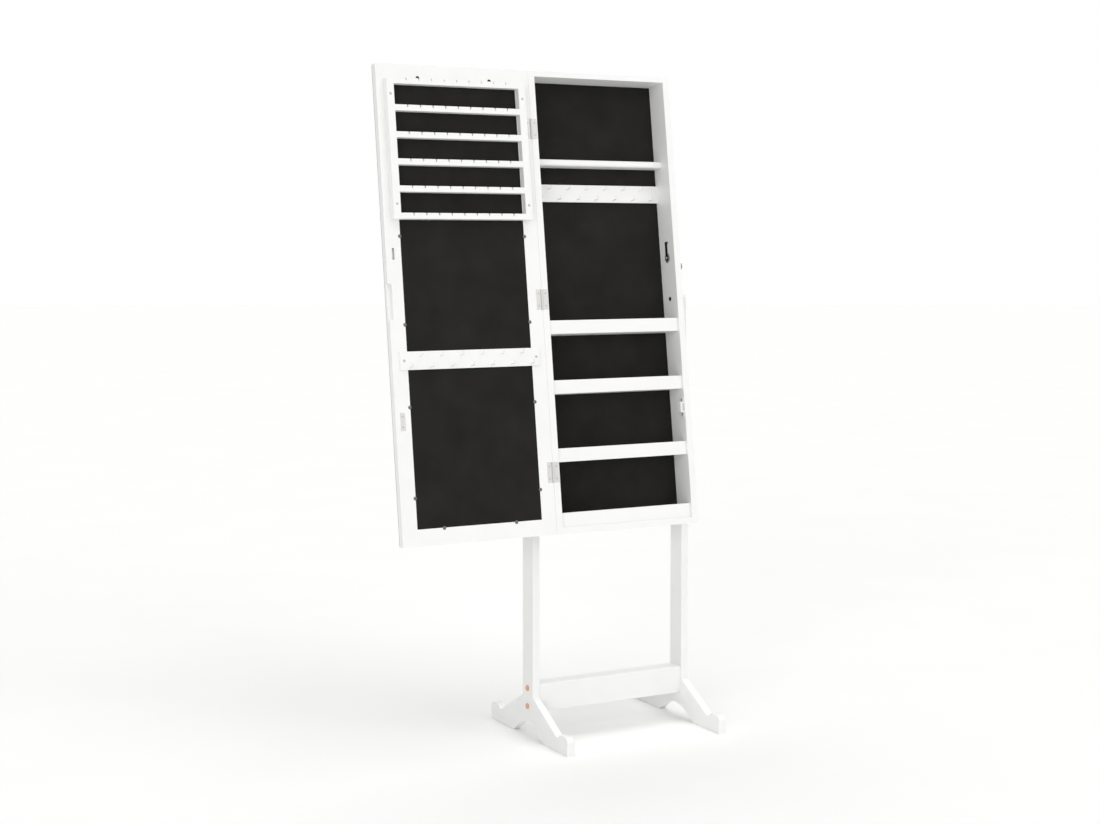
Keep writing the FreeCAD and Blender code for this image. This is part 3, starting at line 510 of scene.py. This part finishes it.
# %% Panels with a soft border
PILE_EDGE = 0.9
PILE_STEPS = 3
for node in ("door_felt_panel", "felt_lining"):
    panel = stand_in(softened(copied(node), PILE_EDGE, segments=PILE_STEPS), node)
    print(panel.name, "has", len(panel.data.polygons), "faces")

# %% [markdown]
# ## The mirror
# The glass covers the whole outer face of the door. Its edge is ground with a narrow facet of a
# millimetre, which catches a line of light all round. The slab is built from the CAD's box, its
# edges are cut off flat, and each face gets its material by where it looks: silver outward,
# backing paint inward, ground glass all round.

# %% A slab with ground facets
FACET = 1.0


def slab(low, high, to_part=CASE):
    """A box between two corners of a working frame."""
    mesh = bmesh.new()
    bmesh.ops.create_cube(mesh, size=1.0)
    middle = Matrix.Translation((low + high) / 2)
    size = Matrix.Diagonal((*(high - low), 1.0))
    bmesh.ops.transform(mesh, matrix=to_part @ middle @ size, verts=mesh.verts)
    return mesh


glass = slab(*own_box("mirror"))
bmesh.ops.bevel(glass, geom=glass.edges[:], offset=FACET * MM, segments=1, affect="EDGES")
outward = CASE.to_3x3() @ Vector((0, 1, 0))
for face in glass.faces:
    face.normal_update()
    turned_out = face.normal.dot(outward)
    face.material_index = 0 if turned_out > 0.99 else 2 if turned_out < -0.99 else 1
mirror = keep(glass, "mirror-glass", [silvered_glass, ground_edge, backing_paint], "mirror")
print("mirror in mm:", [round(side / MM, 1) for side in mirror.dimensions])

# %% [markdown]
# ## Turned pieces
# Screws, bolts and collars come off a lathe, and the code works as the lathe does: a half outline
# of radius and height is carried round the axis. One such piece can then be set down in many
# places, which is how a bag of screws gets into a cabinet.


# %% Helpers: turn a profile, set down copies
def turned(profile, steps=32):
    """A round piece about Z from (radius, height) points that start and end on the axis."""
    mesh = bmesh.new()
    angles = [math.tau * step / steps for step in range(steps)]
    rings = [[mesh.verts.new((radius * math.cos(angle), radius * math.sin(angle), height))
              for angle in (angles if radius else angles[:1])] for radius, height in profile]
    for one, other in zip(rings, rings[1:]):
        for step in range(steps):
            after = (step + 1) % steps
            outline = [one[step % len(one)], one[after % len(one)],
                       other[after % len(other)], other[step % len(other)]]
            mesh.faces.new(dict.fromkeys(outline))
    return mesh


def set_down(template, places):
    """One bmesh with a copy of a template at each place. The template is used up."""
    data = bpy.data.meshes.new("template")
    template.to_mesh(data)
    template.free()
    many = bmesh.new()
    for place in places:
        before = len(many.verts)
        many.from_mesh(data)
        many.verts.ensure_lookup_table()
        bmesh.ops.transform(many, matrix=place, verts=many.verts[before:])
    bpy.data.meshes.remove(data)
    return many


def facing(point, direction, to_part=CASE):
    """The place of a piece whose Z axis looks out in a direction of a working frame."""
    turn = Vector(direction).to_track_quat("Z", "Y").to_matrix().to_4x4()
    return to_part @ Matrix.Translation(point) @ turn


FRONT = (0, -1, 0)
LEFT = (-1, 0, 0)
RIGHT = (1, 0, 0)

# %% [markdown]
# ## Screws
# A screw is known by its head: a flat countersunk one on hinges and plates, a low round one that
# holds the velvet panel, all with a cross recess that a driver has pressed. The recess is a
# tapered plus, cut out of the turned head. Each size is read from the CAD's own screws.

# %% A turned screw with a cross recess
CROSS_REACH = 0.58
CROSS_HALF = 0.15
CROSS_TAPER = 0.45
CROSS_DEPTH = 0.8
RIM = 0.12
LIFT = 0.5
DOME_STEPS = (0, 30, 55, 75, 90)
DOME_SHARE = 0.7
DOME_CROSS_DEPTH = 0.75


def cross_recess(head_r, depth):
    """A tapered plus, as wide as a share of the head, that reaches a depth below Z = 0."""
    arm = CROSS_REACH * head_r
    half = CROSS_HALF * head_r
    quarter = [Vector((half, half, 0)), Vector((half, arm, 0)), Vector((-half, arm, 0))]
    outline = [Matrix.Rotation(math.tau * turn / 4, 3, "Z") @ point for turn in range(4) for point in quarter]
    mesh = bmesh.new()
    rings = []
    for height in (LIFT * MM, -depth):
        scale = 1 + (CROSS_TAPER - 1) * (LIFT * MM - height) / (LIFT * MM + depth)
        rings.append([mesh.verts.new((point.x * scale, point.y * scale, height)) for point in outline])
        mesh.faces.new(rings[-1])
    count = len(outline)
    for spot in range(count):
        after = (spot + 1) % count
        mesh.faces.new((rings[0][spot], rings[0][after], rings[1][after], rings[1][spot]))
    bmesh.ops.recalc_face_normals(mesh, faces=mesh.faces)
    return mesh


def countersunk(head_r, shank_r, cone, length):
    """A wood screw with a flat head: its face at Z = 0, a broken rim, a point."""
    rim = RIM * MM
    profile = [(0, 0), (head_r - rim, 0), (head_r, -rim), (shank_r, -cone), (shank_r, shank_r * 2 - length),
               (0, -length)]
    return combined(turned(profile), cross_recess(head_r, cone * CROSS_DEPTH), "DIFFERENCE")


def round_headed(head_r, shank_r, head_t, length):
    """A screw with a low round head from Z = 0 down to its seat."""
    dome = [(head_r * math.sin(angle), head_t * (math.cos(angle) - 1) * DOME_SHARE)
            for angle in (math.radians(step) for step in DOME_STEPS)]
    profile = dome + [(head_r, -head_t), (shank_r, -head_t), (shank_r, -length), (0, -length)]
    return combined(turned(profile), cross_recess(head_r, head_t * DOME_CROSS_DEPTH), "DIFFERENCE")


# %% [markdown]
# The screws of a node are found as its loose parts. A screw's box is long along its axis, its
# head's face is at the low end of that axis, and half its width is the head's radius.

# %% Where the screws are
CONE_SHARE = 0.46
SHANK_SHARE = 0.53


def screw_spots(node):
    """Head radius, length and the places of a node's screws, which look to the front or the left."""
    places = []
    for low, high in loose_parts(node):
        size = high - low
        middle = (low + high) / 2
        if abs(size.x - size.z) < abs(size.y - size.z):
            places.append(facing(Vector((middle.x, low.y, middle.z)), FRONT))
            length = size.y
        else:
            places.append(facing(Vector((low.x, middle.y, middle.z)), LEFT))
            length = size.x
    return size.z / 2, length, places


for node in ("case_screws", "rack_screws", "door_bar_screws"):
    head_r, length, places = screw_spots(node)
    screw = countersunk(head_r, head_r * SHANK_SHARE, head_r * CONE_SHARE, length)
    stand_in(set_down(screw, places), node)
    print(len(places), node, "with heads of", round(2 * head_r / MM, 1), "mm")

# %% [markdown]
# The screws of one node don't all look alike. The keeper plate of the lock went through the
# spray booth with the door, and so its two screws are white while the others on the door are
# zinc. One mesh can hold two finishes: each face takes the second one if its height on the case
# says so.


# %% A second finish by height
def second_finish(mesh, lowest, highest):
    """Gives the second material to the faces of a bmesh between two heights of the case."""
    to_case = CASE.inverted()
    for face in mesh.faces:
        height = (to_case @ face.calc_center_median()).z
        face.material_index = int(lowest < height < highest)
    return mesh


keeper_low, keeper_high = own_box("lock_strike")
head_r, length, places = screw_spots("door_screws")
screws = set_down(countersunk(head_r, head_r * SHANK_SHARE, head_r * CONE_SHARE, length), places)
keep(second_finish(screws, keeper_low.z, keeper_high.z), "door-screws-piece",
     [zinc_plate, sprayed_lacquer], "door_screws")
print(len(places), "door screws")

# %% [markdown]
# Low round heads hold the velvet panel, because their undersides reach over its edge, and one
# holds the cam on its plug. The panel's screws are grey but for the two at the top, which came
# from another box and are black.

# %% Round heads: the panel's screws and the screw of the cam
THIN_SHANK = 1.5
head_t = own_box("door_top_rail")[0].y - own_box("panel_screws")[0].y
head_r, length, places = screw_spots("panel_screws")
screws = set_down(round_headed(head_r, THIN_SHANK * MM, head_t, length), places)
highest = own_box("panel_screws")[1].z
keep(second_finish(screws, highest - 2 * head_r - MM, highest + MM), "panel-screws-piece",
     [grey_phosphate, black_oxide], "panel_screws")
print(len(places), "panel screws that stand", round(head_t / MM, 1), "mm proud")
head_t = own_box("lock_cam")[0].x - own_box("lock_cam_screw")[0].x
head_r, length, places = screw_spots("lock_cam_screw")
stand_in(set_down(round_headed(head_r, THIN_SHANK * MM, head_t, length), places), "lock_cam_screw")

# %% [markdown]
# ## Bolts
# The stretcher hangs on four bolts with wide, low heads, made to be seen: the rim is rounded
# and a hexagon socket takes the key. The two pivot bolts are of the same kind. A hexagon prism
# is a turned piece with six steps, so the same helper makes the tool that cuts the socket. The
# socket's faces take a second material, which on the copper bolts is a painted shade: dark brown.

# %% Socket-headed bolts
SOCKET_SHARE = 0.44
SOCKET_DEPTH_SHARE = 0.67
CROWN_STEPS = (0, 30, 60, 90)
CROWN_WIDE = 0.25
CROWN_HIGH = 0.45
BOLT_SHANK = 3.0
BOLT_SIDES = 48


def socket_bolt(head_r, head_t, length):
    """A bolt with a low round head from Z = 0 down, and a hexagon socket."""
    crown = [(head_r * (1 - CROWN_WIDE * (1 - math.sin(angle))), head_t * CROWN_HIGH * (math.cos(angle) - 1))
             for angle in (math.radians(step) for step in CROWN_STEPS)]
    shank_r = BOLT_SHANK * MM
    profile = [(0, 0)] + crown + [(head_r, -head_t), (shank_r, -head_t), (shank_r, -length), (0, -length)]
    socket_r = SOCKET_SHARE * head_r
    depth = SOCKET_DEPTH_SHARE * head_t
    prism = turned([(0, LIFT * MM), (socket_r, LIFT * MM), (socket_r, -depth), (0, -depth)], steps=6)
    bolt = combined(turned(profile, steps=BOLT_SIDES), prism, "DIFFERENCE")
    # Faces inside the socket take the second material, a painted shade for the recess.
    for face in bolt.faces:
        spot = face.calc_center_median()
        face.material_index = int(spot.xy.length < socket_r and -depth - WELD < spot.z < -WELD)
    return bolt


def bolt_places(node, to_part):
    """Places and box sizes of bolts along X, whose heads look away from the middle."""
    boxes = loose_parts(node, to_part)
    centre = sum(((low + high).x / 2 for low, high in boxes)) / len(boxes)
    places = []
    for low, high in boxes:
        middle = (low + high) / 2
        if middle.x < centre:
            places.append(facing(Vector((low.x, middle.y, middle.z)), LEFT, to_part))
        else:
            places.append(facing(Vector((high.x, middle.y, middle.z)), RIGHT, to_part))
    return places, boxes[0][1] - boxes[0][0]


bolt_head_t = own_box("left_leg", STAND)[0].x - own_box("stretcher_bolts", STAND)[0].x
# The second material goes on the socket faces; on the copper bolts it is a painted shade.
for node, to_part, coats_and_socket_shade in (("stretcher_bolts", STAND, [copper_plate, socket_shade_copper]),
                             ("pivot_bolts", CASE, [black_oxide, black_oxide])):
    places, size = bolt_places(node, to_part)
    bolts = set_down(socket_bolt(size.z / 2, bolt_head_t, size.x), places)
    keep(bolts, node.replace("_", "-") + "-piece", coats_and_socket_shade, node)
    print(len(places), node, round(size.x / MM, 1), "mm long")

# %% [markdown]
# ## Hooks
# Each hook is moulded with a collar that seats on the bar, a round stem that comes straight out,
# a tight bend, and a short upright that ends in a ball, so that a fine chain neither slips off
# nor catches. Rings of vertices follow the route, and each ring has its own radius, so the
# collar and the ball belong to one closed skin.

# %% A moulded hook
HOOK_SIDES = 16
COLLAR_SHARE = 1.9
COLLAR_MM = 0.9
COLLAR_EDGE = 0.6
COLLAR_FACE = 0.8
BALL_SHARE = 1.25
BALL_STEPS = 8
BALL_END = math.radians(84)
BEND_SHARE = 1.45
BEND_STEPS = 6


def moulded_hook(wire_r, reach, rise, root):
    """A hook from its root behind the bar's face: out along -Y, round a bend, up to a ball."""
    collar = COLLAR_MM * MM
    wide = COLLAR_SHARE * wire_r
    bend = BEND_SHARE * wire_r
    axis = wire_r - reach
    stations = [(root, 0, 0, wire_r), (0, 0, 0, wire_r), (0, 0, 0, wide), (-COLLAR_EDGE * collar, 0, 0, wide),
                (-collar, 0, 0, COLLAR_FACE * wide), (-collar, 0, 0, wire_r)]
    for step in range(BEND_STEPS + 1):
        turn = math.tau / 4 * step / BEND_STEPS
        stations.append((axis + bend * (1 - math.sin(turn)), bend * (1 - math.cos(turn)), turn, wire_r))
    ball = BALL_SHARE * wire_r
    neck = -math.acos(wire_r / ball)
    for step in range(BALL_STEPS + 1):
        angle = neck + (BALL_END - neck) * step / BALL_STEPS
        stations.append((axis, rise - ball + ball * math.sin(angle), math.tau / 4, ball * math.cos(angle)))
    mesh = bmesh.new()
    rings = []
    for y, z, turn, radius in stations:
        rings.append([mesh.verts.new((radius * math.cos(angle), y + radius * math.sin(angle) * math.sin(turn),
                                      z + radius * math.sin(angle) * math.cos(turn)))
                      for angle in (math.tau * side / HOOK_SIDES for side in range(HOOK_SIDES))])
    for one, other in zip(rings, rings[1:]):
        for side in range(HOOK_SIDES):
            after = (side + 1) % HOOK_SIDES
            mesh.faces.new((one[side], one[after], other[after], other[side]))
    mesh.faces.new(rings[0])
    mesh.faces.new(rings[-1])
    return mesh


for node, bar in (("necklace_hooks", "necklace_bar"), ("door_hooks", "door_hook_bar")):
    face = own_box(bar)[0].y
    boxes = loose_parts(node)
    low, high = boxes[0]
    wire_r = (high - low).x / 2
    hook = moulded_hook(wire_r, face - low.y, (high - low).z - wire_r, high.y - face)
    places = [CASE @ Matrix.Translation(((low.x + high.x) / 2, face, low.z + wire_r)) for low, high in boxes]
    stand_in(set_down(hook, places), node)
    print(len(boxes), node, "reach", round((face - low.y) / MM, 1), "mm")

# %% [markdown]
# ## Hinges, plates, lock and key
# These are stamped, rolled and turned from metal a millimetre or two thick. Their shapes are
# right in the CAD down to the countersunk holes, but stamping leaves a small round edge that
# catches the light. A narrow bevel gives each its own width: less on a sheet, more on the key,
# which is tumbled until it is pleasant to hold.

# %% Metal with small round edges
METAL_EDGES = {
    "hinge_case_leaves": 0.15, "hinge_door_leaves": 0.15, "hinge_pins": 0.2,
    "catch_strike": 0.15, "lock_cam": 0.25, "lock_cylinder": 0.35, "lock_nut": 0.3,
    "lock_plug": 0.15, "pivot_inserts": 0.2, "stretcher_barrel_nuts": 0.4,
}
for node, width_mm in METAL_EDGES.items():
    stand_in(softened(copied(node), width_mm), node)
print("stamped and turned:", len(METAL_EDGES))

# %% [markdown]
# Three more plates and blades share the shape work but not the finish of their slot. The key's
# blade and bow are a darker nickel, and the keeper plate of the lock is
# lacquered over with the door, so that only its slot shows.

# %% The key and the keeper plate
STAMPED_EDGE = 0.15
KEY_EDGES = {"key_blade": 0.25, "key_bow": 0.45}
for node, width_mm in KEY_EDGES.items():
    keep(softened(copied(node), width_mm), node.replace("_", "-") + "-piece", [darker_nickel], node)
keeper = keep(softened(copied("lock_strike"), STAMPED_EDGE), "lock-strike-piece", [sprayed_lacquer],
              "lock_strike", slot="white_lacquer")
print(keeper.name, "in", keeper.data.materials[0].name)

# %% [markdown]
# The threaded inserts that the pivot bolts screw into are driven in from inside the case. Each
# ends in a thin black collar that lies on the inner wall, a little wider than the insert. Its
# outline is written in shares of its radius and its thickness, with a shallow dish in the middle.

# %% Collars of the pivot inserts
COLLAR_R = 5.0
COLLAR_T = 0.6
outline = [(0, -0.3), (0.45, -0.3), (0.55, 0), (0.93, 0), (1, -0.4), (1, -1), (0, -1)]
collar = turned([(radius * COLLAR_R * MM, height * COLLAR_T * MM) for radius, height in outline])
left_wall = own_box("left_side")[1].x + COLLAR_T * MM
right_wall = own_box("right_side")[0].x - COLLAR_T * MM
places = []
for low, high in loose_parts("pivot_inserts"):
    middle = (low + high) / 2
    if middle.x < case_wide / 2:
        places.append(facing(Vector((left_wall, middle.y, middle.z)), RIGHT))
    else:
        places.append(facing(Vector((right_wall, middle.y, middle.z)), LEFT))
keep(set_down(collar, places), "pivot-insert-collars", [black_oxide], body="case", slot="black_steel")
print(len(places), "collars")

# %% [markdown]
# ## The magnetic catch
# A catch of this kind holds a ferrite block under a steel pole plate, which carries its pull to
# the front and keeps the brittle ferrite from chipping. The body is one moulding with a screwed
# flange. The CAD's magnet is plate and block in one, so its box is cut in two, front and back.

# %% Body, magnet and pole plate
POLE = 1.2
POLE_EDGE = 0.2
MOULDED_EDGE = 0.25
stand_in(softened(copied("catch_body"), MOULDED_EDGE), "catch_body")
low, high = own_box("catch_magnet")
magnet = slab(low + Vector((0, POLE * MM, 0)), high)
keep(softened(magnet, POLE_EDGE), "catch-magnet-block", [sintered_ferrite], "catch_magnet")
pole = slab(low, Vector((high.x, low.y + POLE * MM, high.z)))
keep(softened(pole, POLE_EDGE), "catch-pole-plate", [zinc_plate], body="case", slot="zinc_steel")
print("pole plate in mm:", [round(side / MM, 1) for side in (high.x - low.x, POLE * MM, high.z - low.z)])

# %% [markdown]
# ## Pins in the back board
# The thin back board is pinned into the rear edges of the shelf and the tray floors. Only the
# flat heads of the pins show, a row of four at each height. They are too small for the CAD, and
# they are what the eye finds first on a plain white back.

# %% Panel pins
PIN_R = 1.3
PIN_PROUD = 0.3
PIN_SIDES = 20
PINS_IN_A_ROW = 4
outline = [(0, 0), (0.7 * PIN_R, 0), (PIN_R, -0.15), (PIN_R, -0.9), (0, -0.9)]
pin = turned([(radius * MM, height * MM) for radius, height in outline], steps=PIN_SIDES)
back_face = own_box("back_board")[1].y + PIN_PROUD * MM
wide_low, wide_high = own_box("back_board")
rows = [sum(own_box(node), Vector()).z / 2 for node in
        ("upper_shelf", "upper_tray_floor", "middle_tray_floor", "lower_tray_floor")]
pitch = (wide_high.x - wide_low.x) / PINS_IN_A_ROW
columns = [wide_low.x + pitch * (spot + 0.5) for spot in range(PINS_IN_A_ROW)]
places = [facing(Vector((x, back_face, z)), (0, 1, 0)) for z in rows for x in columns]
keep(set_down(pin, places), "back-board-pins", [zinc_plate], body="case", slot="zinc_steel")
print(len(places), "pins in the back board")

# %% [markdown]
# ## The floor
# The picture is a plain studio shot: a pale floor that runs to the horizon. It is stage, not
# part of the cabinet, and its paint is nearly as white as the wall behind it.

# %% A pale studio floor
FLOOR_RADIUS = 30.0
floor_paint = finish("rolled_floor_paint", ("#F7F7F6", "#FAFAF9"), gloss=(0.85, 0.95),
                     grain_mm=300.0, height_mm=0.0, cloud_mm=400.0, fixed={"Specular IOR Level": 0.2})
floor_mesh = bmesh.new()
bmesh.ops.create_circle(floor_mesh, cap_ends=True, radius=FLOOR_RADIUS, segments=96)
floor_data = bpy.data.meshes.new("studio_floor")
floor_mesh.to_mesh(floor_data)
floor_mesh.free()
floor_data.materials.append(floor_paint)
floor = bpy.data.objects.new("studio_floor", floor_data)
bpy.context.scene.collection.objects.link(floor)
print("floor in metres:", round(floor.dimensions.x, 1))

# %% [markdown]
# ## Sky and softboxes
# White pieces on a white ground need soft light with a little direction. The sky gives an even
# base. The camera sees it white, as a lit backdrop is in a studio, and the mirror and the metal
# see it pale grey, but it lights the paint with much less, to leave the modelling to softboxes.

# %% The sky
LIT_SKY = 0.17
SEEN_SKY = 1.0
MIRRORED_SHARE = 0.6
world = bpy.data.worlds.new("studio_sky")
bpy.context.scene.world = world
world.use_nodes = True
sky_tree = world.node_tree
sky_tree.nodes.clear()
seen = add(sky_tree, "ShaderNodeLightPath", {}, {})
looked_at = add(sky_tree, "ShaderNodeMath", {"operation": "MULTIPLY_ADD", "Value_001": MIRRORED_SHARE},
                {"Value": (seen, "Is Glossy Ray"), "Value_002": (seen, "Is Camera Ray")})
strength = add(sky_tree, "ShaderNodeMapRange", {"To Min": LIT_SKY, "To Max": SEEN_SKY},
               {"Value": (looked_at, "Value")})
sky = add(sky_tree, "ShaderNodeBackground", {"Color": linear("#FFFFFF")}, {"Strength": (strength, "Result")})
add(sky_tree, "ShaderNodeOutputWorld", {}, {"Surface": (sky, "Background")})
print("the sky lights with", LIT_SKY, "and shows", SEEN_SKY)

# %% [markdown]
# Three softboxes shape the cabinet: a large one overhead, one in front on the right, and a
# narrower fill from the left that reaches the inner right wall of the open case. Far lights of
# a wide angle give the same soft edge to every shadow, wherever the cabinet stands.


# %% Softboxes
def softbox(name, from_right, elevation, spread, power):
    """A distant softbox in front: degrees to the right, degrees up, its width in degrees."""
    data = bpy.data.lights.new(name, "SUN")
    data.angle = math.radians(spread)
    data.energy = power
    lamp = bpy.data.objects.new(name, data)
    bpy.context.scene.collection.objects.link(lamp)
    turn = math.radians(from_right)
    rise = math.radians(elevation)
    towards_lamp = Vector((math.sin(turn) * math.cos(rise), -math.cos(turn) * math.cos(rise), math.sin(rise)))
    lamp.rotation_mode = "QUATERNION"
    lamp.rotation_quaternion = towards_lamp.to_track_quat("Z", "Y")
    return lamp


softbox("overhead_softbox", 0.0, 90.0, 80.0, 2.2)
softbox("front_softbox", 25.0, 30.0, 50.0, 0.78)
softbox("left_fill", -50.0, 15.0, 30.0, 0.78)
print("softboxes:", len(bpy.data.lights))
bpy.context.scene.view_settings.view_transform = "Standard"

# %% [markdown]
# ## The camera
# It stands where the photographer stood: left of the cabinet and a little above its middle,
# looking right and slightly down. The lens is written in pixels of the photograph's width, as
# its perspective gives it. The photograph was cropped below its optical centre, and a small
# lens shift does the same.

# %% The camera
PHOTO_WIDE = 1100
LENS_PIXELS = 1799.5
SHIFT_PIXELS = -60
SENSOR = 36.0
STANDPOINT = Vector((-1902.3, -3614.6, 1125.1))
TURN = math.radians(28.063)
NOD = math.radians(-3.389)
camera_data = bpy.data.cameras.new("camera")
camera_data.sensor_fit = "HORIZONTAL"
camera_data.sensor_width = SENSOR
camera_data.lens = LENS_PIXELS * SENSOR / PHOTO_WIDE
camera_data.shift_y = SHIFT_PIXELS / PHOTO_WIDE
camera_data.clip_end = 200.0
camera = bpy.data.objects.new("camera", camera_data)
bpy.context.scene.collection.objects.link(camera)
camera.location = STANDPOINT * MM
camera.rotation_mode = "QUATERNION"
looking = Vector((math.sin(TURN) * math.cos(NOD), math.cos(TURN) * math.cos(NOD), math.sin(NOD)))
camera.rotation_quaternion = looking.to_track_quat("-Z", "Y")
bpy.context.scene.camera = camera
print("lens in mm:", round(camera_data.lens, 1))
